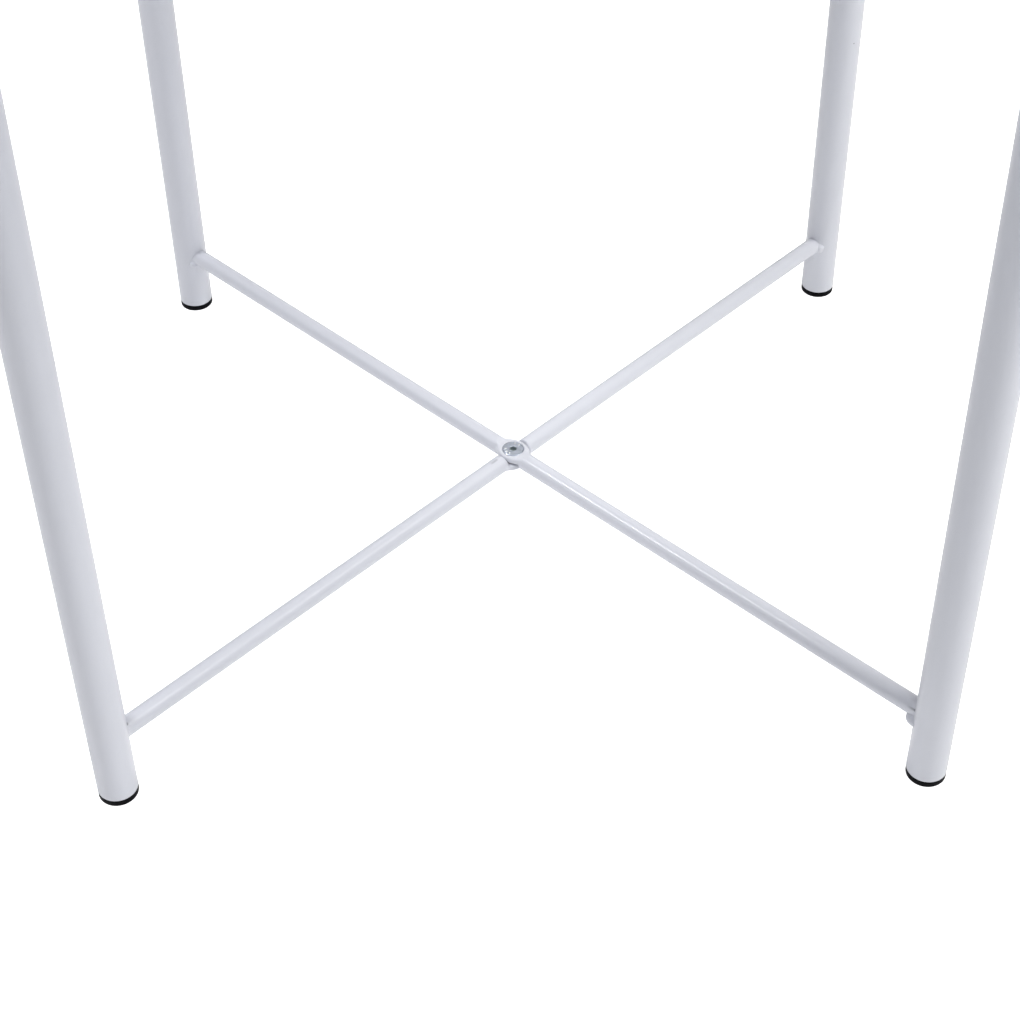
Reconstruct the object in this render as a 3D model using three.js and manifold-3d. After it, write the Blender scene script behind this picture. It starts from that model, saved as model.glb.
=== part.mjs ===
// Folding side table: two leg frames of steel tube that scissor about one upright axis, and a
// round tray that lifts off them.
//
// Each frame is two opposite legs with a thin rod brace welded across near the floor and another
// near the top. Where the two frames cross, every brace is pressed into a half-thick eye, so the
// braces lie at one level, and a countersunk screw holds the two eyes together. The tray is a
// steel band round a steel disc: the disc rests on the four leg tops and the band reaches a
// little below it, outside the legs, so that the tray can't slide off.
//
// Millimetres, +Z up. The origin is on the floor, on the fold axis.
import * as THREE from "three";
import { mergeVertices } from "three/addons/utils/BufferGeometryUtils.js";
import Module from "manifold-3d";

const wasm = await Module();
wasm.setup();

// ---- Driving dimensions ----
const LEG_RADIUS = 8; // 16 mm tube
const LEG_WALL = 1;
const LEG_SPLAY = THREE.MathUtils.degToRad(1); // each leg leans in towards the fold axis
const FOOT_CIRCLE = 226; // from the fold axis to a leg's axis, at the floor
const TRAY_SEAT = 485; // height of the tray disc's underside
const BRACE_RADIUS = 4; // 8 mm rod
const BRACE_INSET = 31.3; // from the floor, or from the tray's seat, to where the braces lap
const FIT_GAP = 0.3; // left between solids that touch on the real table

// ---- Plugs in the leg ends ----
const PLUG_FLANGE = 3;
const PLUG_REACH = 14; // how far a plug reaches, flange and all
const PLUG_CORE = 4; // depth of solid plastic before the plug's hollow
const PLUG_HOLLOW_RADIUS = 4.2;
const FOOT_ROUND = 1.2; // radius of a foot's lower edge
const TOP_DOME = 0.9; // rise of a leg top's dome

// ---- Pressed eyes and pivots ----
const LAP_GAP = 0.8; // between the two eyes, filled by a washer
const LAP_RISE = 0.35; // from the middle of that gap to a brace's axis
const EYE_THICKNESS = 3.25;
const EYE_HALF_LENGTH = 8.2;
const EYE_HALF_WIDTH = 6.55;
const PRESS_RADIUS = 7.6; // the round punch that pressed the eye
const SCREW_RADIUS = 2.2;
const HEAD_RADIUS = 4.75;
const HEAD_EDGE = 0.3; // straight edge of a countersunk head
const HEAD_SINK = 0.05; // heads lie this far below the eye's face
const SOCKET_FLATS = 3; // hex key size
const SOCKET_DEPTH = 1.9;
const INSERT_RADIUS = 3.6;
const WASHER_RADIUS = 6;
const WASHER_THICKNESS = 0.4;

// ---- Tray ----
const FLOOR_THICKNESS = 1;
const BAND_THICKNESS = 0.8;
const BAND_CLEARANCE = 0.8; // from a leg's outside to the band
const SKIRT_DEPTH = 12; // how far the band reaches below the disc
const RIM_TOP = TRAY_SEAT + 38;
const BEAD_RADIUS = 2.5; // wired edge along the rim
const HEM_HEIGHT = 5; // doubled strip along the band's lower edge

// ---- Derived sizes ----
const legLength = TRAY_SEAT / Math.cos(LEG_SPLAY);
const legAxisAt = (z) => FOOT_CIRCLE - z * Math.tan(LEG_SPLAY);
const BAND_INNER = legAxisAt(TRAY_SEAT) + LEG_RADIUS + BAND_CLEARANCE;
const BORE_RADIUS = LEG_RADIUS - LEG_WALL;
const EYE_UNDER = LAP_GAP / 2 - LAP_RISE; // an eye's inner face, from its brace's axis
const EYE_TOP = EYE_UNDER + EYE_THICKNESS; // its outer face
const EYE_FACE = LAP_GAP / 2 + EYE_THICKNESS; // its outer face, from the middle of the lap
const ROUND_SEGMENTS = 32;
const SMALL_SEGMENTS = 24;
const TRAY_SEGMENTS = 96;
const UP = new THREE.Vector3(0, 0, 1);

// ---- Materials ----
const paint = new THREE.MeshStandardMaterial({ color: 0xe3e5ee, roughness: 0.32, metalness: 0 });
const blackPlastic = new THREE.MeshStandardMaterial({ color: 0x0d0d12, roughness: 0.5, metalness: 0 });
const zinc = new THREE.MeshStandardMaterial({ color: 0xaeb4be, roughness: 0.35, metalness: 1 });
const nylon = new THREE.MeshStandardMaterial({ color: 0xd9d9d4, roughness: 0.6, metalness: 0 });

// ---- Solids ----

// A closed three.js geometry as a manifold-3d solid.
function solid(geometry) {
  const bare = geometry.index ? geometry.toNonIndexed() : geometry.clone();
  bare.deleteAttribute("normal");
  bare.deleteAttribute("uv");
  const merged = mergeVertices(bare, 1e-4);
  return new wasm.Manifold(
    new wasm.Mesh({
      numProp: 3,
      vertProperties: merged.attributes.position.array,
      triVerts: new Uint32Array(merged.index.array),
    }),
  );
}

function geometryOf(body) {
  const mesh = body.getMesh();
  const geometry = new THREE.BufferGeometry();
  geometry.setAttribute("position", new THREE.Float32BufferAttribute(mesh.vertProperties, 3));
  geometry.setIndex(new THREE.Uint32BufferAttribute(mesh.triVerts, 1));
  const faceted = geometry.toNonIndexed();
  faceted.computeVertexNormals();
  return faceted;
}

const point = (radius, height) => new THREE.Vector2(radius, height);

// A body turned about +Z from (radius, height) points, listed counter-clockwise from the axis.
function turned(points, segments) {
  return new THREE.LatheGeometry(points, segments).rotateX(Math.PI / 2);
}

// An upright cylinder or cone between two heights.
function upright(lowRadius, highRadius, low, high, segments = SMALL_SEGMENTS) {
  return new THREE.CylinderGeometry(highRadius, lowRadius, high - low, segments)
    .rotateX(Math.PI / 2)
    .translate(0, 0, (low + high) / 2);
}

// Points along a quarter or part circle in the lathe's (radius, height) plane, degrees.
function arc(centreRadius, centreHeight, radius, from, to, steps) {
  return Array.from({ length: steps + 1 }, (_, i) => {
    const angle = THREE.MathUtils.degToRad(from + ((to - from) * i) / steps);
    return point(centreRadius + radius * Math.cos(angle), centreHeight + radius * Math.sin(angle));
  });
}

function named(name, geometry, material) {
  const mesh = new THREE.Mesh(geometry, material);
  mesh.name = name;
  return mesh;
}

// ---- Leg, in its own frame: origin on the floor, +Z up the tube ----

function legTube() {
  const low = PLUG_FLANGE + FIT_GAP;
  const high = legLength - PLUG_FLANGE - FIT_GAP;
  const profile = [
    point(BORE_RADIUS, low),
    point(LEG_RADIUS, low),
    point(LEG_RADIUS, high),
    point(BORE_RADIUS, high),
    point(BORE_RADIUS, low),
  ];
  return turned(profile, ROUND_SEGMENTS);
}

// The part of a plug inside the tube, from the flange inwards, closing on the axis.
function plugSpigot() {
  const radius = BORE_RADIUS - FIT_GAP;
  return [
    point(radius, PLUG_FLANGE),
    point(radius, PLUG_REACH - 2),
    point(radius - 0.6, PLUG_REACH),
    point(PLUG_HOLLOW_RADIUS, PLUG_REACH),
    point(PLUG_HOLLOW_RADIUS, PLUG_CORE),
    point(0, PLUG_CORE),
  ];
}

// The foot's lower face is level with the floor although the leg leans.
function footPlug() {
  const overlap = 0.2;
  const edge = arc(LEG_RADIUS - FOOT_ROUND, FOOT_ROUND - overlap, FOOT_ROUND, -90, 0, 4);
  const profile = [point(0, -overlap), ...edge, point(LEG_RADIUS, PLUG_FLANGE), ...plugSpigot()];
  const slab = new THREE.BoxGeometry(40, 40, 10).translate(0, 0, -5).rotateY(LEG_SPLAY);
  return geometryOf(solid(turned(profile, SMALL_SEGMENTS)).subtract(solid(slab)));
}

// The same plug the other way up, with a low dome that the tray rests on.
function topPlug() {
  const side = TOP_DOME + 0.6;
  const domeRadius = (LEG_RADIUS ** 2 + TOP_DOME ** 2) / (2 * TOP_DOME);
  const spread = THREE.MathUtils.radToDeg(Math.asin((LEG_RADIUS - 0.5) / domeRadius));
  const dome = arc(0, domeRadius, domeRadius, -90, spread - 90, 4);
  const profile = [...dome, point(LEG_RADIUS, side), point(LEG_RADIUS, PLUG_FLANGE), ...plugSpigot()];
  const plug = turned(profile, SMALL_SEGMENTS);
  return plug.rotateX(Math.PI).translate(0, 0, legLength - FIT_GAP);
}

function leg(place) {
  const group = new THREE.Group();
  group.add(
    named(`leg_${place}`, legTube(), paint),
    named(`foot_plug_${place}`, footPlug(), blackPlastic),
    named(`top_plug_${place}`, topPlug(), blackPlastic),
  );
  group.position.x = FOOT_CIRCLE;
  group.rotation.y = -LEG_SPLAY;
  const turnedLeg = new THREE.Group();
  turnedLeg.add(group);
  return turnedLeg;
}

// ---- Brace, along X with its axis at z = 0 and its eye pressed up from below ----

function brace(legAxis, holeRadius) {
  const rod = new THREE.CylinderGeometry(BRACE_RADIUS, BRACE_RADIUS, 2 * legAxis, SMALL_SEGMENTS)
    .rotateZ(Math.PI / 2);
  const outline = new THREE.Shape().absellipse(0, 0, EYE_HALF_LENGTH, EYE_HALF_WIDTH, 0, 2 * Math.PI);
  const eye = new THREE.ExtrudeGeometry(outline, {
    depth: EYE_THICKNESS,
    bevelEnabled: false,
    curveSegments: 16,
  }).translate(0, 0, EYE_UNDER);
  const far = 2 * BRACE_RADIUS;
  const pressedBelow = upright(PRESS_RADIUS, PRESS_RADIUS, -far, EYE_UNDER, ROUND_SEGMENTS);
  const pressedAbove = upright(PRESS_RADIUS, PRESS_RADIUS, EYE_TOP, far, ROUND_SEGMENTS);
  const hole = upright(holeRadius, holeRadius, -far, EYE_TOP);
  let body = solid(rod).subtract(solid(pressedBelow)).subtract(solid(pressedAbove));
  body = body.add(solid(eye)).subtract(solid(hole)).subtract(solid(countersink()));
  for (const side of [-1, 1]) {
    const cope = upright(LEG_RADIUS + FIT_GAP, LEG_RADIUS + FIT_GAP, -20, 20, ROUND_SEGMENTS);
    body = body.subtract(solid(cope.translate(side * legAxis, 0, 0)));
  }
  const [middle] = body.decompose().sort((a, b) => b.volume() - a.volume());
  return geometryOf(middle);
}

// The room for a countersunk head in an eye, open above.
function countersink() {
  const radius = HEAD_RADIUS + FIT_GAP;
  const edge = EYE_TOP - HEAD_SINK - HEAD_EDGE;
  const profile = [
    point(0, edge - radius),
    point(radius, edge),
    point(radius, EYE_TOP + 1),
    point(0, EYE_TOP + 1),
  ];
  return turned(profile, SMALL_SEGMENTS);
}

// ---- Pivot hardware, centred on the middle of the lap ----

function pivotScrew() {
  const face = EYE_FACE - HEAD_SINK;
  const edge = face - HEAD_EDGE;
  const tip = -EYE_FACE + 1.4;
  const profile = [
    point(0, tip),
    point(SCREW_RADIUS - 0.4, tip),
    point(SCREW_RADIUS, tip + 0.4),
    point(SCREW_RADIUS, edge - (HEAD_RADIUS - SCREW_RADIUS)),
    point(HEAD_RADIUS, edge),
    point(HEAD_RADIUS, face),
    point(0, face),
  ];
  const socketRadius = SOCKET_FLATS / Math.sqrt(3);
  const socket = upright(socketRadius, socketRadius, face - SOCKET_DEPTH, face + 1, 6);
  return geometryOf(solid(turned(profile, SMALL_SEGMENTS)).subtract(solid(socket)));
}

// A threaded insert in the under brace's eye, its head flush below.
function pivotInsert() {
  const face = -EYE_FACE + HEAD_SINK;
  const edge = face + HEAD_EDGE;
  const bore = SCREW_RADIUS + FIT_GAP;
  const top = -LAP_GAP / 2;
  const profile = [
    point(bore, face),
    point(HEAD_RADIUS, face),
    point(HEAD_RADIUS, edge),
    point(INSERT_RADIUS, edge + HEAD_RADIUS - INSERT_RADIUS),
    point(INSERT_RADIUS, top),
    point(bore, top),
    point(bore, face),
  ];
  return turned(profile, SMALL_SEGMENTS);
}

function pivotWasher() {
  const half = WASHER_THICKNESS / 2;
  const bore = SCREW_RADIUS + FIT_GAP;
  const profile = [
    point(bore, -half),
    point(WASHER_RADIUS, -half),
    point(WASHER_RADIUS, half),
    point(bore, half),
    point(bore, -half),
  ];
  return turned(profile, SMALL_SEGMENTS);
}

// ---- Frames ----

const BRACE_LEVELS = { lower: BRACE_INSET, upper: TRAY_SEAT - BRACE_INSET };

// One leg frame. Its braces' eyes lie over or under the other frame's.
function legFrame(lap, places, heading) {
  const frame = new THREE.Group();
  places.forEach((place, i) => {
    const oneLeg = leg(place);
    oneLeg.rotation.z = i * Math.PI;
    frame.add(oneLeg);
  });
  const holeRadius = (lap === "over" ? SCREW_RADIUS : INSERT_RADIUS) + FIT_GAP;
  for (const [level, height] of Object.entries(BRACE_LEVELS)) {
    const rod = named(`${level}_brace_${lap}`, brace(legAxisAt(height), holeRadius), paint);
    rod.position.z = lap === "over" ? height + LAP_RISE : height - LAP_RISE;
    if (lap === "under") rod.rotation.x = Math.PI;
    frame.add(rod);
  }
  frame.setRotationFromAxisAngle(UP, THREE.MathUtils.degToRad(heading));
  return frame;
}

function pivot(level, height) {
  const group = new THREE.Group();
  group.add(
    named(`${level}_pivot_screw`, pivotScrew(), zinc),
    named(`${level}_pivot_insert`, pivotInsert(), zinc),
    named(`${level}_pivot_washer`, pivotWasher(), nylon),
  );
  group.position.z = height;
  return group;
}

// ---- Tray ----

function trayFloor() {
  const radius = BAND_INNER - FIT_GAP;
  return upright(radius, radius, TRAY_SEAT, TRAY_SEAT + FLOOR_THICKNESS, TRAY_SEGMENTS);
}

function trayBand() {
  const outer = BAND_INNER + BAND_THICKNESS;
  const hem = outer + BAND_THICKNESS;
  const low = TRAY_SEAT - SKIRT_DEPTH;
  const beadCentre = BAND_INNER + BEAD_RADIUS;
  const beadStart = -180 + THREE.MathUtils.radToDeg(Math.acos((beadCentre - outer) / BEAD_RADIUS));
  const bead = arc(beadCentre, RIM_TOP - BEAD_RADIUS, BEAD_RADIUS, beadStart, 180, 10);
  const profile = [
    point(BAND_INNER, low),
    point(hem, low),
    point(hem, low + HEM_HEIGHT),
    point(outer, low + HEM_HEIGHT),
    ...bead,
    point(BAND_INNER, low),
  ];
  return turned(profile, TRAY_SEGMENTS);
}

function tray() {
  const group = new THREE.Group();
  group.add(named("tray_floor", trayFloor(), paint), named("tray_band", trayBand(), paint));
  return group;
}

// ---- The table ----

const table = new THREE.Group();
table.add(
  legFrame("over", ["front_right", "back_left"], -45),
  legFrame("under", ["back_right", "front_left"], 45),
  pivot("lower", BRACE_LEVELS.lower),
  pivot("upper", BRACE_LEVELS.upper),
  tray(),
);

export default table;
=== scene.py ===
"""Folding side table: the looks of its welded legs and braces, pivots, plugs and tray.

Shapes are worked out in millimetres about their own axes, and turned into metres in the part's
frame as each piece is made. Where the CAD boxes give a place or a size, it is read from them.
"""

import math

import bmesh
import bpy
import numpy as np
from mathutils import Matrix, Vector


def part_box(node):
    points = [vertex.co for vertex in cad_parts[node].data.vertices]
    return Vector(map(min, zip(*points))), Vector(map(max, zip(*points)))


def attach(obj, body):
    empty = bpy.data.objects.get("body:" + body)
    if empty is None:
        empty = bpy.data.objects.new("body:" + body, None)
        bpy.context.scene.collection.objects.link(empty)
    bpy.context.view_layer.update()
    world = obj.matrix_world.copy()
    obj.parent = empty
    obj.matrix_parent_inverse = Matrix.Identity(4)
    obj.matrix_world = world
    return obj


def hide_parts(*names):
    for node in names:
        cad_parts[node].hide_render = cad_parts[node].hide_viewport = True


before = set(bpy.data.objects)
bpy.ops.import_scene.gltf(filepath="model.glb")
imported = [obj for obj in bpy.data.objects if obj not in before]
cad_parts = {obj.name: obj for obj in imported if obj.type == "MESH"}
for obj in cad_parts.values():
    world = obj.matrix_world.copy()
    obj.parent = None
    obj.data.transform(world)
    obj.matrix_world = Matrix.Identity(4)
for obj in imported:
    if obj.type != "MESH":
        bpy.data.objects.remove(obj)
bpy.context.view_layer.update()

MM = 0.001

# ---- Driving dimensions, in millimetres ----
BRACE_RADIUS = 4.0
TUBE_WALL = 1.0
TUBE_REACH = 0.25  # a tube's ends pass the CAD solid's by this, to meet the plugs
FIT_GAP = 0.3  # between CAD solids that touch on the real table
TUBE_SIDES = 128
ROD_SIDES = 96
ROD_ANGLES = np.arange(ROD_SIDES) * 2 * math.pi / ROD_SIDES
ARC_STEPS = 5  # in each rounded corner of an outline

# Plugs: the flange that shows and the spigot inside the tube
PLUG_INSET = 0.05
PLUG_REACH = 11.0
PLUG_TAPER = 0.3
PLUG_HOLLOW = 4.2
PLUG_CORE = 1.0
FOOT_CUT = 0.2  # a foot is shaped to this far below the floor, then cut flat at the floor
DOME_DROP = 0.9
DOME_MARK_RADIUS = 0.7
DOME_MARK_DEPTH = 0.12

# Pressed eye, from the brace's own axis
EYE_TOP = 3.3
EYE_UNDER = -0.2
EYE_ROUND = 1.4
EYE_HALF_LENGTH = 8.2
EYE_HALF_WIDTH = 6.55
PUNCH_FLAT = 5.9  # the outer face is flat this far from the pivot, and rises beyond it
PUNCH_CURVE = 0.06
PRESS_REACH = 7.1  # from the pivot to the recess wall, along the rod
PRESS_CURVE = 0.72  # how round that wall is; 1 is a circle about the pivot
EYE_PATCH = 14.0  # half the length of rod that is one skin with the eye
EYE_STEP = 0.25
SCREW_HOLE = 2.5
INSERT_HOLE = 3.9
HEAD_HOLE = 4.86
CONE_AT_AXIS = 1.9  # radius of the countersink's cone where it passes the brace's axis

# Pivot screw, from the face of its head
HEAD_RADIUS = 4.75
HEAD_EDGE = 0.3
SHANK_RADIUS = 2.2
SHANK_END = 5.5
SOCKET_FLATS = 2.8
SOCKET_DEPTH = 1.9
SOCKET_BEVEL = 0.2
SCREW_STEP = 0.13
MARK_CIRCLE = 3.45
MARK_RADIUS = 0.32
MARK_STRETCH = 1.8
MARKS = (42, 76, 180, 212, 240)  # degrees round the head's middle to each raised mark, which is painted light as a painted highlight

# Welds
WELD_LEAST = 0.35
WELD_STEPS = 15  # rings of points from the rod to the leg
WELD_SLANT = 0.7071  # a bead swells by this share along the rod, and as much away from it
WELD_SEEDS = {"lower": 11, "upper": 47}

# Sheet metal of the tray
SHEET = 0.8
BEAD_RADIUS = 2.48
HEM_HEIGHT = 5.0
DISC_FILLET = 1.6
TRAY_SIDES = 256


# ---- Where things are, from the CAD boxes ----

PLACES = {"frame_over": ("front_right", "back_left"), "frame_under": ("back_right", "front_left")}
LEVELS = ("lower", "upper")


def leg_line(place):
    """The points where a leg's axis meets the tube's lower and upper end, in millimetres."""
    low, high = (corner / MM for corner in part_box(f"leg_{place}"))
    radius = leg_radius(place)
    side = [1 if low[i] + high[i] > 0 else -1 for i in (0, 1)]
    outer = [high[i] if side[i] > 0 else low[i] for i in (0, 1)]
    inner = [low[i] if side[i] > 0 else high[i] for i in (0, 1)]
    foot = Vector([outer[i] - side[i] * radius for i in (0, 1)] + [low.z])
    top = Vector([inner[i] + side[i] * radius for i in (0, 1)] + [high.z])
    return foot, top


def leg_radius(place):
    low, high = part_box(f"foot_plug_{place}")
    return (high.x - low.x) / 2 / MM


def brace_height(level, lap):
    low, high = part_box(f"{level}_brace_{lap}")
    return (low.z + high.z) / 2 / MM


def point_at_height(line, height):
    foot, top = line
    return foot.lerp(top, (height - foot.z) / (top.z - foot.z))


# ---- Mesh helpers ----


def moved(points, place):
    """The points, moved by the matrix place."""
    matrix = np.array(place)
    return np.asarray(points, float) @ matrix[:3, :3].T + matrix[:3, 3]


def make_piece(name, points, faces, material, place=None, sharp=math.radians(40), painted_light_and_wear=None):
    """A mesh object from points in millimetres, moved by the matrix place if there is one.

    The last argument, if given, is one number for each point that its material reads: above 0 it
    darkens, as painted shading or a real scuff, and below 0 it lightens, as a painted highlight.
    """
    if place is not None:
        points = moved(points, place)
    mesh = bpy.data.meshes.new(name)
    mesh.from_pydata((np.asarray(points, float) * MM).tolist(), [], faces)
    face_outwards(mesh)
    mesh.shade_smooth()
    mesh.set_sharp_from_angle(angle=sharp)
    if painted_light_and_wear is not None:
        mesh.attributes.new("painted_light_and_wear", "FLOAT", "POINT").data.foreach_set("value", painted_light_and_wear)
    mesh.materials.append(material)
    piece = bpy.data.objects.new(name, mesh)
    bpy.context.scene.collection.objects.link(piece)
    return piece


def face_outwards(mesh):
    work = bmesh.new()
    work.from_mesh(mesh)
    bmesh.ops.recalc_face_normals(work, faces=work.faces)
    work.to_mesh(mesh)
    work.free()


def revolve(profile, sides):
    """Points and faces of a profile of (radius, height) turned about Z; it closes on itself."""
    angles = np.arange(sides) * 2 * math.pi / sides
    points, rings = [], []
    for radius, height in profile:
        start = len(points)
        if radius == 0:
            points.append((0.0, 0.0, height))
            rings.append([start] * sides)
        else:
            points += [(radius * math.cos(a), radius * math.sin(a), height) for a in angles]
            rings.append([start + i for i in range(sides)])
    return points, bridge_rings(rings + rings[:1])


def bridge_rings(rings):
    """Quads between rings of the same length, or triangles where a ring is one point."""
    faces = []
    for low, high in zip(rings, rings[1:]):
        for i in range(len(low)):
            j = (i + 1) % len(low)
            corners = list(dict.fromkeys((low[i], low[j], high[j], high[i])))
            if len(corners) > 2:
                faces.append(corners)
    return faces


def rounded(corners):
    """A closed outline of (radius, height, rounding) corners, each rounded by an arc."""
    outline = []
    count = len(corners)
    for i, (x, y, rounding) in enumerate(corners):
        here = Vector((x, y))
        back = (Vector(corners[i - 1][:2]) - here).normalized()
        ahead = (Vector(corners[(i + 1) % count][:2]) - here).normalized()
        if rounding <= 0:
            outline.append(tuple(here))
            continue
        half = math.acos(max(-1.0, min(1.0, back.dot(ahead)))) / 2
        reach = rounding / math.tan(half)
        centre = here + (back + ahead).normalized() * rounding / math.sin(half)
        start, end = here + back * reach - centre, here + ahead * reach - centre
        sweep = start.angle_signed(end)
        for k in range(ARC_STEPS + 1):
            turn = -sweep * k / ARC_STEPS
            spoke = Vector((
                start.x * math.cos(turn) - start.y * math.sin(turn),
                start.x * math.sin(turn) + start.y * math.cos(turn),
            ))
            outline.append(tuple(centre + spoke))
    return outline


# ---- Smooth solids from a distance function ----

SETTLE_ROUNDS = 5
NUDGE = 0.02
LEAST_SLOPE = 0.2


def fade(value, start, end):
    """0 up to start, 1 from end on, and a straight slope between; end may be the lower one."""
    return np.clip((value - start) / (end - start), 0, 1)


def smooth_min(a, b, blend):
    h = np.clip(0.5 + 0.5 * (b - a) / blend, 0, 1)
    return b * (1 - h) + a * h - blend * h * (1 - h)


def smooth_max(a, b, blend):
    return -smooth_min(-a, -b, blend)


def surface_of(distance, low, high, step):
    """The surface where distance(x, y, z) is 0 inside a box: points, quads and points' cells.

    One point lies in each grid cell that the surface crosses, and one quad crosses each grid
    edge that the surface crosses. The points are then moved onto the surface itself.
    """
    axes = [np.arange(low[i], high[i] + step / 2, step) for i in range(3)]
    field = distance(*np.meshgrid(*axes, indexing="ij"))
    inside = field < 0
    cells = tuple(n - 1 for n in field.shape)
    total = np.zeros(cells + (3,))
    crossings = np.zeros(cells)
    for axis in range(3):
        first = [slice(None)] * 3
        second = [slice(None)] * 3
        first[axis], second[axis] = slice(None, -1), slice(1, None)
        f0, f1 = field[tuple(first)], field[tuple(second)]
        crossed = inside[tuple(first)] != inside[tuple(second)]
        share = np.where(crossed, f0 / np.where(crossed, f0 - f1, 1), 0)
        for du in (0, 1):
            for dv in (0, 1):
                offset = [0, 0, 0]
                offset[(axis + 1) % 3], offset[(axis + 2) % 3] = du, dv
                pick = tuple(slice(offset[i], offset[i] + cells[i]) for i in range(3))
                hit = crossed[pick]
                crossings += hit
                for i in range(3):
                    total[..., i] += hit * (share[pick] if i == axis else offset[i])
    active = crossings > 0
    index = np.full(cells, -1)
    index[active] = np.arange(active.sum())
    corner = np.argwhere(active)
    points = np.array(low) + step * (corner + total[active] / crossings[active][:, None])

    faces = []
    for axis in range(3):
        u, v = (axis + 1) % 3, (axis + 2) % 3
        pick0 = [slice(1, -1)] * 3
        pick1 = [slice(1, -1)] * 3
        pick0[axis], pick1[axis] = slice(None, -1), slice(1, None)
        edges = np.argwhere(inside[tuple(pick0)] != inside[tuple(pick1)])
        for cell in edges:
            base = cell.copy()
            base[u] += 1
            base[v] += 1
            quad = []
            for du, dv in ((1, 1), (0, 1), (0, 0), (1, 0)):
                other = base.copy()
                other[u] -= du
                other[v] -= dv
                quad.append(int(index[tuple(other)]))
            faces.append(quad)
    return settle(distance, points), faces, corner


def settle(distance, points):
    """Moves points onto the surface where distance is 0."""
    for _ in range(SETTLE_ROUNDS):
        value = distance(*points.T)
        slope = np.stack([
            (distance(*(points + step).T) - distance(*(points - step).T)) / (2 * NUDGE)
            for step in NUDGE * np.eye(3)
        ], axis=1)
        size = np.maximum((slope ** 2).sum(1), LEAST_SLOPE)
        points = points - (value / size)[:, None] * slope
    return points


# ---- Materials ----


def principled(name, slot_values):
    """A material with its Principled shader's own sockets set, its nodes and its links."""
    material = bpy.data.materials.new(name)
    material.use_nodes = True
    shader = material.node_tree.nodes["Principled BSDF"]
    for socket, value in slot_values.items():
        shader.inputs[socket].default_value = value
    return material, material.node_tree, shader


def node(tree, kind, values=None, **settings):
    made = tree.nodes.new(kind)
    for key, value in settings.items():
        setattr(made, key, value)
    for socket, value in (values or {}).items():
        made.inputs[socket].default_value = value
    return made


def own_place(tree):
    """The piece's own coordinates, in metres."""
    return node(tree, "ShaderNodeTexCoord").outputs["Object"]


def noise(tree, scale, detail):
    """Noise over the piece's own coordinates; scale is in waves per metre."""
    made = node(tree, "ShaderNodeTexNoise", {"Scale": scale, "Detail": detail})
    tree.links.new(own_place(tree), made.inputs["Vector"])
    return made.outputs["Fac"]


def ramp(tree, value, low, high, start=0.3, end=0.7):
    """A colour that turns from low to high as the value goes from start to end."""
    made = node(tree, "ShaderNodeValToRGB")
    elements = made.color_ramp.elements
    for element, position, colour in zip(elements, (start, end), (low, high)):
        element.position = position
        element.color = (*colour, 1)
    tree.links.new(value, made.inputs["Fac"])
    return made.outputs["Color"]


def span(tree, value, low, high, from_low=0.3, from_high=0.7):
    """A number that goes from low to high as the value goes from from_low to from_high."""
    made = node(tree, "ShaderNodeMapRange", {
        "From Min": from_low, "From Max": from_high, "To Min": low, "To Max": high,
    })
    tree.links.new(value, made.inputs["Value"])
    return made.outputs["Result"]


def bump(tree, height, distance, strength, under=None):
    """The surface's direction, roughened by a height, and by the bump under it if there is one."""
    made = node(tree, "ShaderNodeBump", {"Strength": strength, "Distance": distance})
    tree.links.new(height, made.inputs["Height"])
    if under is not None:
        tree.links.new(under, made.inputs["Normal"])
    return made.outputs["Normal"]


def mix(tree, factor, first, second):
    """A blend of two colours, each a plain colour or another node's output."""
    made = node(tree, "ShaderNodeMix", data_type="RGBA")
    tree.links.new(factor, made.inputs["Factor"])
    for socket, value in ((6, first), (7, second)):
        if isinstance(value, tuple):
            made.inputs[socket].default_value = (*value, 1)
        else:
            tree.links.new(value, made.inputs[socket])
    return made.outputs[2]


def flecks(tree, per_metre, size, share):
    """Sparse small spots: 1 inside a spot, 0 elsewhere. size is in cells, share of cells used."""
    cells = node(tree, "ShaderNodeTexVoronoi", {"Scale": per_metre})
    tree.links.new(own_place(tree), cells.inputs["Vector"])
    near = node(tree, "ShaderNodeMath", {1: size}, operation="LESS_THAN")
    tree.links.new(cells.outputs["Distance"], near.inputs[0])
    split = node(tree, "ShaderNodeSeparateColor")
    tree.links.new(cells.outputs["Color"], split.inputs["Color"])
    chosen = node(tree, "ShaderNodeMath", {1: share}, operation="LESS_THAN")
    tree.links.new(split.outputs["Red"], chosen.inputs[0])
    both = node(tree, "ShaderNodeMath", operation="MULTIPLY")
    tree.links.new(near.outputs[0], both.inputs[0])
    tree.links.new(chosen.outputs[0], both.inputs[1])
    return both.outputs[0]


def with_painted_light_and_wear(tree, colour, light, dark):
    """The colour, lightened as a painted highlight where a piece's value is -1, and darkened where
    it is 1, as painted shading or a real scuff.
    """
    painted_light_and_wear = node(tree, "ShaderNodeAttribute", attribute_name="painted_light_and_wear")
    for sign, other in ((-1, light), (1, dark)):
        amount = node(tree, "ShaderNodeMath", {1: sign}, operation="MULTIPLY", use_clamp=True)
        tree.links.new(painted_light_and_wear.outputs["Fac"], amount.inputs[0])
        colour = mix(tree, amount.outputs[0], colour, other)
    return colour


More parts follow.
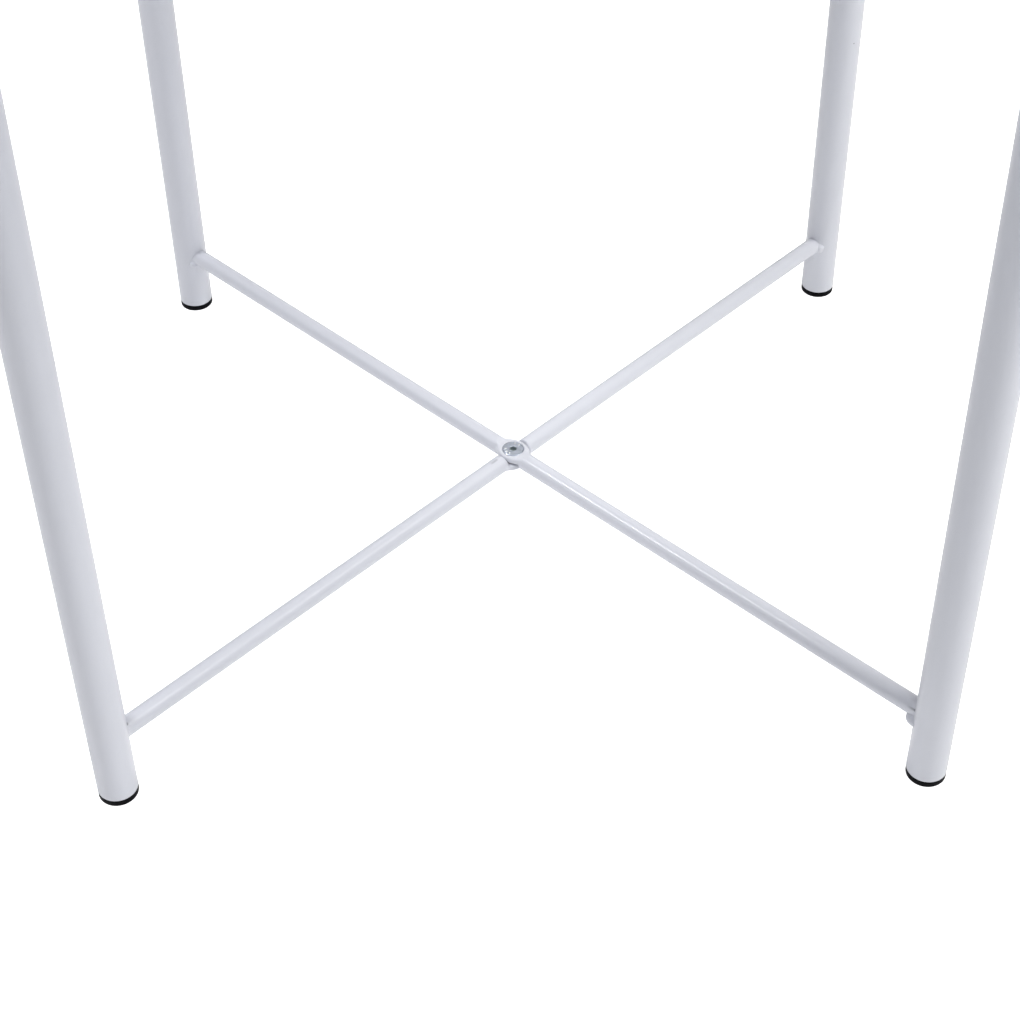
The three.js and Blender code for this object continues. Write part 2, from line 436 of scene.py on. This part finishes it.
def paint_material():
    """Gloss white powder coat: orange peel, faint mottling and a few pits, drawn only as dark
    specks of painted shading.
    """
    material, tree, shader = principled("white_powder_coat", {
        "Specular IOR Level": 0.26, "Coat Weight": 0.25, "Coat Roughness": 0.08,
    })
    tone = ramp(tree, noise(tree, 14, 3), (0.694, 0.705, 0.765), (0.702, 0.713, 0.772))
    # Painted shading: the pits are dark grey specks of colour, not hollows in the surface.
    pits = flecks(tree, 130, 0.05, 0.04)
    colour = mix(tree, pits, tone, (0.30, 0.31, 0.34))
    # Darker where a brace's points say: painted shading in the welds' pin-holes, and a real scuff.
    colour = with_painted_light_and_wear(tree, colour, (0.8, 0.8, 0.8), (0.16, 0.17, 0.19))
    tree.links.new(colour, shader.inputs["Base Color"])
    tree.links.new(span(tree, noise(tree, 90, 3), 0.31, 0.36), shader.inputs["Roughness"])
    peel = bump(tree, noise(tree, 420, 2), 0.00012, 0.35)
    fine = bump(tree, noise(tree, 2600, 2), 0.00002, 0.3, peel)
    tree.links.new(fine, shader.inputs["Normal"])
    return material


def plastic_material():
    """Black moulded plastic with a fine grain, dusty where it meets the floor."""
    material, tree, shader = principled("black_moulded_plastic", {"Specular IOR Level": 0.05})
    tone = ramp(tree, noise(tree, 500, 3), (0.002, 0.002, 0.003), (0.004, 0.004, 0.006))
    axes = node(tree, "ShaderNodeSeparateXYZ")
    tree.links.new(own_place(tree), axes.inputs["Vector"])
    near_floor = span(tree, axes.outputs["Z"], 0.5, 0.0, 0.0, 0.9 * MM)
    dust = node(tree, "ShaderNodeMath", operation="MULTIPLY")
    tree.links.new(near_floor, dust.inputs[0])
    tree.links.new(noise(tree, 900, 4), dust.inputs[1])
    colour = mix(tree, dust.outputs[0], tone, (0.10, 0.10, 0.10))
    tree.links.new(colour, shader.inputs["Base Color"])
    tree.links.new(span(tree, noise(tree, 700, 3), 0.38, 0.55), shader.inputs["Roughness"])
    tree.links.new(bump(tree, noise(tree, 3500, 2), 0.00004, 0.5), shader.inputs["Normal"])
    return material


def zinc_material():
    """Bright zinc plate over a turned face: fine rings about the pivot axis and a cloudy tone,
    darkened in the hex socket as painted shading and lightened on the raised marks as a painted
    highlight.
    """
    material, tree, shader = principled("zinc_plate", {"Metallic": 1.0})
    tone = ramp(tree, noise(tree, 700, 4), (0.47, 0.51, 0.61), (0.58, 0.62, 0.73))
    # Painted highlight: white on the head's raised marks. Painted shading: dark inside the hex
    # socket.
    colour = with_painted_light_and_wear(tree, tone, (1.0, 1.0, 1.0), (0.36, 0.40, 0.41))
    tree.links.new(colour, shader.inputs["Base Color"])
    tree.links.new(span(tree, noise(tree, 1200, 4), 0.26, 0.46), shader.inputs["Roughness"])
    rings = node(tree, "ShaderNodeTexWave", {"Scale": 900, "Distortion": 1.5, "Detail": 2},
                 wave_type="RINGS", rings_direction="Z")
    tree.links.new(own_place(tree), rings.inputs["Vector"])
    turned = bump(tree, rings.outputs["Fac"], 0.00001, 0.35)
    tree.links.new(bump(tree, noise(tree, 3000, 2), 0.00002, 0.4, turned), shader.inputs["Normal"])
    return material


def nylon_material():
    """Natural nylon: slightly cloudy, with light passing a little way in."""
    material, tree, shader = principled("nylon", {
        "Subsurface Weight": 0.2, "Subsurface Scale": 0.001,
    })
    tone = ramp(tree, noise(tree, 400, 3), (0.36, 0.36, 0.37), (0.44, 0.44, 0.45))
    tree.links.new(tone, shader.inputs["Base Color"])
    tree.links.new(span(tree, noise(tree, 900, 2), 0.45, 0.6), shader.inputs["Roughness"])
    return material


def seen(tree, glow, backdrop):
    """A strength: glow for the light it throws, backdrop where the camera sees it."""
    path = node(tree, "ShaderNodeLightPath")
    return span(tree, path.outputs["Is Camera Ray"], glow, backdrop)


def floor_material():
    """Plain white, and bright enough where the camera sees it that hardly a shadow shows."""
    material, tree, shader = principled("studio_floor", {
        "Roughness": 0.9, "Specular IOR Level": 0.1, "Emission Color": (1, 1, 1, 1),
    })
    tree.links.new(seen(tree, 0.21, 0.85), shader.inputs["Emission Strength"])
    tone = ramp(tree, noise(tree, 3, 2), (0.93, 0.93, 0.93), (0.95, 0.95, 0.95), 0.4, 0.6)
    tree.links.new(tone, shader.inputs["Base Color"])
    return material


PAINT = paint_material()
PLASTIC = plastic_material()
ZINC = zinc_material()
NYLON = nylon_material()


# ---- Studio ----

CAMERA_AT = Vector((-0.0080, -0.6514, 0.6078))
CAMERA_DOWN = math.radians(43.13)
CAMERA_TURN = math.radians(-0.54)
CAMERA_ROLL = math.radians(-0.91)
CAMERA_LENS = 69.0
LIGHTS_AIM = Vector((0, 0, 0.15))
FLOOR_SIZE = 14

# Each softbox: name, direction from the table, distance, width, height, power, colour and, for
# one that doesn't stand upright, the direction its height lies along
SOFTBOXES = (
    ("key_right", (0.88, -0.44, 0.20), 1.7, 1.3, 0.9, 1.5, (1.0, 1.0, 0.96)),
    ("front_right", (0.75, -0.55, 0.65), 2.0, 1.3, 1.0, 5.5, (0.95, 0.97, 1.0)),
    ("front_low", (-0.3, -1.0, 0.1), 2.0, 1.6, 0.3, 0.8, (0.92, 0.95, 1.0)),
    ("front_above", (-0.1, -0.9, 0.9), 2.2, 1.6, 1.0, 6, (0.90, 0.94, 1.0)),
    ("back_above", (0.0, 1.0, 1.4), 2.4, 1.4, 0.9, 8, (1.0, 1.0, 0.93)),
    ("right_above", (1.0, -0.2, 1.35), 2.4, 1.2, 0.9, 28, (1.0, 0.99, 0.95)),
    ("left_above", (-1.0, 0.0, 1.4), 2.4, 0.26, 0.65, 27, (0.98, 0.985, 1.0), (1, -1, 0)),
    ("right_strip", (0.97, -0.21, 0.10), 1.8, 1.0, 0.2, 2, (1, 1, 1)),
    ("back_strip", (0.185, 0.924, 0.334), 1.6, 1.1, 0.06, 2, (1, 1, 1)),
)


def make_camera():
    data = bpy.data.cameras.new("camera")
    data.lens = CAMERA_LENS
    data.sensor_width = 36
    data.clip_start = 0.01
    camera = bpy.data.objects.new("camera", data)
    turn = Matrix.Rotation(CAMERA_TURN, 4, "Z")
    tilt = Matrix.Rotation(math.pi / 2 - CAMERA_DOWN, 4, "X")
    roll = Matrix.Rotation(CAMERA_ROLL, 4, "Z")
    camera.matrix_world = Matrix.Translation(CAMERA_AT) @ turn @ tilt @ roll
    bpy.context.scene.collection.objects.link(camera)
    bpy.context.scene.camera = camera


def area_light(name, towards, distance, width, height, power, colour, along=(0, 0, 1)):
    """A softbox that the table sees in the direction towards."""
    data = bpy.data.lights.new(name, "AREA")
    data.shape = "RECTANGLE"
    data.size, data.size_y = width, height
    data.energy = power
    data.color = colour
    lamp = bpy.data.objects.new(name, data)
    aim = Vector(towards).normalized()
    across = Vector(along).cross(aim).normalized()
    basis = Matrix((across, aim.cross(across), aim)).transposed().to_4x4()
    lamp.matrix_world = Matrix.Translation(LIGHTS_AIM + aim * distance) @ basis
    bpy.context.scene.collection.objects.link(lamp)


def make_studio():
    scene = bpy.context.scene
    scene.view_settings.view_transform = "Standard"
    world = bpy.data.worlds.new("studio")
    world.use_nodes = True
    background = world.node_tree.nodes["Background"]
    background.inputs["Color"].default_value = (1, 1, 1, 1)
    strength = seen(world.node_tree, 0.02, 0.9)
    world.node_tree.links.new(strength, background.inputs["Strength"])
    scene.world = world
    for softbox in SOFTBOXES:
        area_light(*softbox)
    bpy.ops.mesh.primitive_plane_add(size=FLOOR_SIZE)
    floor = bpy.context.object
    floor.name = "studio_floor"
    floor.data.materials.append(floor_material())


# ---- Legs and plugs ----


def leg_place(place):
    """The matrix that stands a shape turned about Z on a leg's axis, x pointing outwards."""
    line = leg_line(place)
    origin = point_at_height(line, 0)
    up = (line[1] - line[0]).normalized()
    outwards = Vector((origin.x, origin.y, 0)).normalized()
    across = up.cross(outwards).normalized()
    outwards = across.cross(up)
    basis = Matrix((outwards, across, up)).transposed().to_4x4()
    return Matrix.Translation(origin) @ basis


def leg_tube(place, body):
    """A painted tube with soft rims; its ends reach the plugs' flanges."""
    radius = leg_radius(place)
    low, high = (corner.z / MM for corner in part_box(f"leg_{place}"))
    inner = radius - TUBE_WALL
    profile = rounded([
        (inner, low - TUBE_REACH, 0.15), (radius, low - TUBE_REACH, 0.35),
        (radius, high + TUBE_REACH, 0.35), (inner, high + TUBE_REACH, 0.15),
    ])
    points, faces = revolve(profile, TUBE_SIDES)
    piece = make_piece(f"tube_{place}", points, faces, PAINT, leg_place(place))
    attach(piece, body)
    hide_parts(f"leg_{place}")


def spigot(radius, flange, inwards):
    """The outline of a plug's hollow spigot: into the tube from its flange, and to the axis."""
    bore = radius - TUBE_WALL
    end = flange + inwards * PLUG_REACH
    core = flange + inwards * PLUG_CORE
    return [
        (bore - PLUG_INSET, flange, 0.1), (bore - PLUG_TAPER, end, 0.5),
        (PLUG_HOLLOW, end, 0.3), (PLUG_HOLLOW, core, 0.3), (0, core, 0),
    ]


def foot_plug(place, body):
    """A moulded plug: the flange that shows, and its hollow spigot inside the tube."""
    radius = leg_radius(place)
    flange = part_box(f"leg_{place}")[0].z / MM - FIT_GAP
    side = radius - PLUG_INSET
    profile = rounded([
        (0, -FOOT_CUT, 0), (side, -FOOT_CUT, 0.6), (side, flange, 0.15), *spigot(radius, flange, 1),
    ])
    points, faces = revolve(profile, TUBE_SIDES)
    placed = moved(points, leg_place(place))
    placed[:, 2] = np.maximum(placed[:, 2], 0)
    piece = make_piece(f"foot_cap_{place}", placed, faces, PLASTIC)
    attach(piece, body)
    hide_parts(f"foot_plug_{place}")


def top_plug(place, body):
    """The same plug in the leg's top, its face a low dome with a moulding mark at the centre."""
    radius = leg_radius(place)
    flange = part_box(f"leg_{place}")[1].z / MM + FIT_GAP
    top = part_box(f"top_plug_{place}")[1].z / MM
    side = radius - PLUG_INSET
    mark = top - DOME_MARK_DEPTH
    dome = [(radius * t, top - DOME_DROP * t * t, 0) for t in (0.12, 0.3, 0.5, 0.7, 0.85)]
    profile = rounded([
        (0, mark, 0), (DOME_MARK_RADIUS, mark, 0.05), *dome,
        (side, top - DOME_DROP - PLUG_INSET, 0.5), (side, flange, 0.25),
        *spigot(radius, flange, -1),
    ])
    points, faces = revolve(profile, TUBE_SIDES)
    piece = make_piece(f"top_cap_{place}", points, faces, PLASTIC, leg_place(place))
    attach(piece, body)
    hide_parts(f"top_plug_{place}")


# ---- Braces: a rod with a pressed eye in the middle and a weld at each end ----

# Each weld's lobes: angle round the rod from its top, half width, and size in millimetres.
# Side 1 is the frame's first leg and side -1 its second; angles grow towards the leg's left,
# as seen from the pivot.
WELDS = {
    ("lower", "over", 1): [(226, 36, 3.2), (95, 34, 1.0)],
    ("lower", "over", -1): [(124, 27, 1.9), (262, 34, 0.5)],
    ("lower", "under", 1): [(262, 40, 1.3), (95, 36, 0.5)],
    ("lower", "under", -1): [(70, 40, 0.6), (250, 36, 0.5)],
    ("upper", "over", 1): [(85, 34, 1.6), (258, 30, 1.9)],
    ("upper", "over", -1): [(95, 30, 1.9), (270, 34, 1.4)],
    ("upper", "under", 1): [(92, 32, 1.7), (265, 30, 1.8)],
    ("upper", "under", -1): [(98, 30, 1.8), (260, 34, 1.5)],
}
# Pin-holes in the welds, drawn only as dark spots of painted shading: angle round the rod, and
# which of the bead's rings
PIN_HOLE_SHADING = {("lower", "over", 1): (300, 10), ("lower", "under", -1): (30, 8)}
# A scuff along the top of a brace near its eye: from and to, along the brace
SCUFFS = {("lower", "under"): (-13.4, -10.6)}
SCUFF_STRENGTH = 0.35


def eye_distance(hole):
    """The distance function of the pressed eye and the rod either side of it."""

    def distance(x, y, z):
        out = np.hypot(x, y)
        rod = np.hypot(y, z) - BRACE_RADIUS
        outline = (np.hypot(x / EYE_HALF_LENGTH, y / EYE_HALF_WIDTH) - 1) * EYE_HALF_WIDTH
        middle, half = (EYE_TOP + EYE_UNDER) / 2, (EYE_TOP - EYE_UNDER) / 2
        off_side = np.maximum(outline + EYE_ROUND, 0)
        off_face = np.maximum(np.abs(z - middle) - half + EYE_ROUND, 0)
        plate = np.hypot(off_side, off_face) - EYE_ROUND
        plate = np.maximum(plate, np.maximum(outline, np.abs(z - middle) - half))
        body = smooth_min(rod, plate, 1.0)
        pressed_top = z - EYE_TOP - PUNCH_CURVE * np.maximum(out - PUNCH_FLAT, 0) ** 2
        body = smooth_max(body, pressed_top, 0.5)
        wall = np.hypot(x, PRESS_CURVE * y) - PRESS_REACH
        recess = smooth_max(z - EYE_UNDER, wall, 0.3)
        body = smooth_max(body, -recess, 0.9)
        opening = out - np.clip(z + CONE_AT_AXIS, hole, HEAD_HOLE)
        return smooth_max(body, -opening * 0.8, 0.25)

    return distance


def eye_patch(hole, flipped):
    """The eye's points and faces, and the two sets of points where the rod carries on."""
    low = (-EYE_PATCH, -EYE_HALF_WIDTH - 1.2, -BRACE_RADIUS - 0.9)
    high = (EYE_PATCH, EYE_HALF_WIDTH + 1.2, BRACE_RADIUS + 0.9)
    points, faces, cells = surface_of(eye_distance(hole), low, high, EYE_STEP)
    loops = {}
    for side, layer in ((-1, cells[:, 0].min()), (1, cells[:, 0].max())):
        ring = np.flatnonzero(cells[:, 0] == layer)
        points[ring, 0] = side * (EYE_PATCH - EYE_STEP / 2)
        points[ring, 1:] *= (BRACE_RADIUS / np.hypot(*points[ring, 1:].T))[:, None]
        loops[side] = ring.tolist()
    if flipped:
        points[:, 1:] *= -1
    return points, faces, loops


def zip_loops(first, first_angles, second, second_angles):
    """Triangles between two rings of different lengths, both in order of angle."""
    faces, i, j = [], 0, 0
    n, m = len(first), len(second)
    while i < n or j < m:
        next_i = first_angles[(i + 1) % n] + (2 * math.pi if i + 1 >= n else 0)
        next_j = second_angles[(j + 1) % m] + (2 * math.pi if j + 1 >= m else 0)
        if j >= m or (i < n and next_i <= next_j):
            faces.append([first[i % n], first[(i + 1) % n], second[j % m]])
            i += 1
        else:
            faces.append([first[i % n], second[(j + 1) % m], second[j % m]])
            j += 1
    return faces


def bead_size(lobes, rng):
    """How far the weld reaches from the corner, by angle round the rod: lobes and small lumps."""
    size = np.full(ROD_SIDES, WELD_LEAST)
    for centre, width, height in lobes:
        away = (ROD_ANGLES - math.radians(centre) + math.pi) % (2 * math.pi) - math.pi
        size += height * np.maximum(1 - (away / math.radians(width)) ** 2, 0) ** 0.7
    lump = sum(
        rng.uniform(0.02, 0.05) * np.sin(k * ROD_ANGLES + rng.uniform(0, 2 * math.pi))
        for k in range(3, 12)
    )
    return size * (1 + lump)


def rod_ring(side, x, out):
    """A ring of points round the rod, x from the pivot and out from the rod's axis."""
    across = side * out * np.sin(ROD_ANGLES)
    return np.stack([np.full(ROD_SIDES, side * x), across, out * np.cos(ROD_ANGLES)], axis=1)


def weld_rings(side, leg_distance, lean, radius, lobes, rng):
    """Rings of points from the rod onto the leg, over a weld bead, and into the leg's wall."""
    size = bead_size(lobes, rng)
    bulge = np.clip((size - WELD_LEAST) / 1.6, 0, 1) * 0.55 - 0.12

    def onto_leg(out):
        y, z = out * np.sin(ROD_ANGLES), out * np.cos(ROD_ANGLES)
        return leg_distance - z * lean - np.sqrt(np.maximum(radius ** 2 - y ** 2, 1.0))

    start = onto_leg(BRACE_RADIUS) - size
    foot_out = BRACE_RADIUS + size * 0.95
    foot = onto_leg(foot_out)
    rings = []
    for t in np.linspace(0, 1, WELD_STEPS):
        arch = math.sin(math.pi * t)
        swell = bulge * size * arch ** 0.8
        wave = arch * np.sin(ROD_ANGLES * 24 + 3 * math.pi * t)
        slant = (swell + 0.05 * np.clip(size - 0.8, 0, 1) * wave) * WELD_SLANT
        x = start + (foot - start) * t - slant
        out = BRACE_RADIUS + (foot_out - BRACE_RADIUS) * t + slant
        rings.append((x, out))
    rings.append((foot + 0.3, foot_out - 0.15))
    rings.append((foot + 0.45, np.maximum(foot_out - 1.5, 1.0)))
    return [rod_ring(side, x, out) for x, out in rings]


def straight_rings(side, weld):
    """Rings of points along the rod, from its eye to the first ring of its weld."""
    end = float(np.abs(weld[:, 0]).min()) - 0.5
    places = [EYE_PATCH + 0.8, *np.linspace(EYE_PATCH + 8, end - 6, 14), end]
    return [rod_ring(side, x, BRACE_RADIUS) for x in places]


def brace_painted_shade_and_wear(points, holes, scuff):
    """How dark the paint is at each point: 1 in a pin-hole, as painted shading; less on a scuff,
    which is real wear; 0 elsewhere.
    """
    painted_light_and_wear = np.zeros(len(points))
    for hole in holes:
        painted_light_and_wear += fade(np.linalg.norm(points - hole, axis=1), 0.8, 0.3)
    if scuff is not None:
        start, end = scuff
        past_end = np.maximum(np.maximum(start - points[:, 0], points[:, 0] - end), 0)
        off = np.sqrt(past_end ** 2 + points[:, 1] ** 2 + (points[:, 2] - BRACE_RADIUS) ** 2)
        painted_light_and_wear += SCUFF_STRENGTH * fade(off, 0.75, 0.25)
    return painted_light_and_wear


def brace_mesh(legs, level, lap):
    """Points, faces and darkening of a brace in its frame's plane: x along the rod, z up; the
    darkening is painted shading in the pin-holes and a real scuff.
    """
    bore = SCREW_HOLE if lap == "over" else INSERT_HOLE
    points, faces, loops = eye_patch(bore, lap == "under")
    points = points.tolist()
    holes = []
    for side, leg in legs.items():
        rng = np.random.default_rng(WELD_SEEDS[level] + side)
        welded = weld_rings(side, *leg, WELDS[(level, lap, side)], rng)
        rings = []
        for ring in straight_rings(side, welded[0]) + welded:
            start = len(points)
            points += ring.tolist()
            rings.append([start + i for i in range(ROD_SIDES)])
        faces += bridge_rings(rings)
        distance, _, radius = leg
        tip = len(points)
        points.append((side * (distance - radius + 0.8), 0.0, 0.0))
        faces += bridge_rings([rings[-1], [tip] * ROD_SIDES])
        turns = {
            i: math.atan2(side * points[i][1], points[i][2]) % (2 * math.pi) for i in loops[side]
        }
        loop = sorted(turns, key=turns.get)
        faces += zip_loops(loop, [turns[i] for i in loop], rings[0], list(ROD_ANGLES))
        # Painted shading: a dark spot of colour where the weld has a pin-hole.
        if (level, lap, side) in PIN_HOLE_SHADING:
            turn, step = PIN_HOLE_SHADING[(level, lap, side)]
            holes.append(welded[step][round(turn / 360 * ROD_SIDES)])
    points = np.array(points)
    return points, faces, brace_painted_shade_and_wear(points, holes, SCUFFS.get((level, lap)))


def brace(level, lap, body):
    """A painted rod between a frame's two legs, with the eye on the side that lap says."""
    height = brace_height(level, lap)
    first, second = PLACES[body]
    rise = 100
    legs = {}
    for side, place in ((1, first), (-1, second)):
        line = leg_line(place)
        distance = point_at_height(line, height).to_2d().length
        above = point_at_height(line, height + rise).to_2d().length
        legs[side] = (distance, (distance - above) / rise, leg_radius(place))
    along = point_at_height(leg_line(first), height).to_2d().normalized()
    points, faces, painted_light_and_wear = brace_mesh(legs, level, lap)
    basis = Matrix(((along.x, along.y, 0), (-along.y, along.x, 0), (0, 0, 1))).transposed().to_4x4()
    matrix = Matrix.Translation((0, 0, height)) @ basis
    piece = make_piece(f"{level}_rod_{lap}", points, faces, PAINT, matrix, painted_light_and_wear=painted_light_and_wear)
    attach(piece, body)
    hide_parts(f"{level}_brace_{lap}")


# ---- Pivots ----


def screw_distance(x, y, z):
    """Countersunk head with a hex socket and raised marks, over a plain shank; face at z = 0."""
    out = np.hypot(x, y)
    cone = (out - np.clip(z + HEAD_RADIUS + HEAD_EDGE, SHANK_RADIUS, HEAD_RADIUS)) * 0.8
    body = smooth_max(cone, z, 0.4)
    body = smooth_max(body, -z - SHANK_END, 0.3)
    for heading in MARKS:
        centre = math.radians(heading)
        mark_x, mark_y = MARK_CIRCLE * math.cos(centre), MARK_CIRCLE * math.sin(centre)
        radial = (x - mark_x) * math.cos(centre) + (y - mark_y) * math.sin(centre)
        across = -(x - mark_x) * math.sin(centre) + (y - mark_y) * math.cos(centre)
        stretched = radial / MARK_STRETCH
        tick = np.sqrt(stretched ** 2 + across ** 2 + (z - 0.04) ** 2) - MARK_RADIUS
        body = smooth_min(body, tick, 0.08)
    sector = (np.arctan2(y, x) + math.pi / 6) % (math.pi / 3) - math.pi / 6
    hexagon = out * np.cos(sector) - SOCKET_FLATS / 2
    socket = smooth_max(hexagon, -z - SOCKET_DEPTH, 0.1)
    mouth = out - SOCKET_FLATS / 2 - SOCKET_BEVEL - z
    socket = smooth_min(socket, smooth_max(mouth, -z - SOCKET_BEVEL, 0.05), 0.08)
    return smooth_max(body, -socket, 0.12)


def pivot_screw(level):
    """The zinc screw, its shank stretched or shortened to the CAD solid's lower end."""
    low, high = (corner.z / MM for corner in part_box(f"{level}_pivot_screw"))
    reach = HEAD_RADIUS + 0.4
    points, faces, _ = surface_of(
        screw_distance, (-reach, -reach, -6.0), (reach, reach, 0.6), SCREW_STEP
    )
    out, z = np.hypot(points[:, 0], points[:, 1]), points[:, 2]
    # Painted shading inside the hex socket, and a painted highlight on the raised marks, for the
    # material to read.
    socket_painted_shading = np.where(out < SOCKET_FLATS / 2 + SOCKET_BEVEL, fade(z, -0.15, -0.45), 0)
    mark_painted_highlight = np.where(out < HEAD_RADIUS - 0.5, fade(z, 0.03, 0.13), 0)
    points[:, 2] = np.where(z < -3, z * (high - low) / SHANK_END, z)
    place = Matrix.Translation((0, 0, high))
    piece = make_piece(
        f"{level}_screw", points, faces, ZINC, place, math.radians(80), socket_painted_shading - mark_painted_highlight
    )
    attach(piece, "frame_under")
    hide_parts(f"{level}_pivot_screw")


def pivot_insert(level):
    """The insert in the eye below: a shallow head under it, and a plain bore for the screw."""
    low, high = (corner.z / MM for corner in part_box(f"{level}_pivot_insert"))
    bore, outside = SCREW_HOLE - 0.15, INSERT_HOLE - FIT_GAP
    profile = rounded([
        (bore, low, 0.25), (HEAD_RADIUS, low, 0.12), (HEAD_RADIUS, low + HEAD_EDGE, 0.1),
        (outside, low + 1.45, 0.1), (outside, high, 0.1), (bore, high, 0.1),
    ])
    points, faces = revolve(profile, ROD_SIDES)
    piece = make_piece(f"{level}_insert", points, faces, ZINC)
    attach(piece, "frame_under")
    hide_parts(f"{level}_pivot_insert")


def pivot_washer(level):
    """A nylon washer, thicker than the gap between the eyes so that it fills it."""
    low, high = (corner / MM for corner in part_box(f"{level}_pivot_washer"))
    outer = (high.x - low.x) / 2
    under, over = low.z - 0.12, high.z + 0.12
    profile = rounded([
        (SCREW_HOLE, under, 0.1), (outer, under, 0.25),
        (outer, over, 0.25), (SCREW_HOLE, over, 0.1),
    ])
    points, faces = revolve(profile, ROD_SIDES)
    piece = make_piece(f"{level}_washer", points, faces, NYLON)
    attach(piece, "frame_under")
    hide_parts(f"{level}_pivot_washer")


# ---- Tray ----


def tray_sizes():
    """The band's inner radius, and heights of the disc's faces and the band's two edges."""
    low, high = (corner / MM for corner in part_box("tray_floor"))
    band_low, band_high = (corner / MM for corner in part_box("tray_band"))
    return {
        "inner": (high.x - low.x) / 2 + FIT_GAP,
        "floor_low": low.z,
        "floor_high": high.z,
        "skirt": band_low.z,
        "rim": band_high.z,
    }


def tray_disc():
    """The steel disc, its edge turned up a little where it is sealed to the band."""
    size = tray_sizes()
    edge = size["inner"] - 0.02
    low, high = size["floor_low"], size["floor_high"]
    sweep = [math.radians(a) for a in range(0, 91, 15)]
    fillet = [
        (edge - DISC_FILLET * (1 - math.sin(a)), high + DISC_FILLET * (1 - math.cos(a)))
        for a in sweep
    ]
    under = [(edge, low - 0.5), (edge - 0.25, low - 0.15), (edge - 0.8, low)]
    rings = [(edge * t, high) for t in (0.25, 0.5, 0.75, 0.9, 0.97)]
    below = [(edge * t, low) for t in (0.97, 0.75, 0.5, 0.25)]
    profile = [(0, high), *rings, *fillet, *under, *below, (0, low)]
    points, faces = revolve(profile, TRAY_SIDES)
    piece = make_piece("tray_disc", points, faces, PAINT)
    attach(piece, "tray")
    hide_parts("tray_floor")


def tray_hoop():
    """The band: a sheet folded back on itself along its lower edge and curled at its rim."""
    size = tray_sizes()
    inner, skirt, rim = size["inner"], size["skirt"], size["rim"]
    middle = inner + SHEET / 2
    curl_radius = BEAD_RADIUS - SHEET / 2
    curl_centre = (inner + BEAD_RADIUS, rim - BEAD_RADIUS)
    fold = SHEET * 0.6
    fold_top = skirt + fold + SHEET / 2
    path = [(middle + 2 * fold, skirt + HEM_HEIGHT), (middle + 2 * fold, fold_top)]
    path += [
        (middle + fold + fold * math.cos(a), fold_top + fold * math.sin(a))
        for a in (math.radians(-30 * k) for k in range(1, 6))
    ]
    path += [(middle, fold_top + h) for h in (0.2, 4, 12, 24)]
    path += [
        (curl_centre[0] + curl_radius * math.cos(a), curl_centre[1] + curl_radius * math.sin(a))
        for a in (math.radians(180 - 15 * k) for k in range(0, 22))
    ]
    points, faces = revolve(thickened(path, SHEET), TRAY_SIDES)
    piece = make_piece("tray_hoop", points, faces, PAINT)
    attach(piece, "tray")
    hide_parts("tray_band")


def thickened(path, thickness):
    """The closed outline of a sheet of that thickness whose middle follows the path."""
    points = [Vector(p) for p in path]
    normals = []
    for i in range(len(points)):
        ahead = points[min(i + 1, len(points) - 1)] - points[max(i - 1, 0)]
        normals.append(Vector((-ahead.y, ahead.x)).normalized())
    half = thickness / 2
    one = [tuple(p + n * half) for p, n in zip(points, normals)]
    other = [tuple(p - n * half) for p, n in zip(points, normals)]
    return one + other[::-1]


# ---- Making everything ----

make_camera()
make_studio()
for body, places in PLACES.items():
    for place in places:
        leg_tube(place, body)
        foot_plug(place, body)
        top_plug(place, body)
    for level in LEVELS:
        brace(level, body.removeprefix("frame_"), body)
for level in LEVELS:
    pivot_screw(level)
    pivot_insert(level)
    pivot_washer(level)
tray_disc()
tray_hoop()
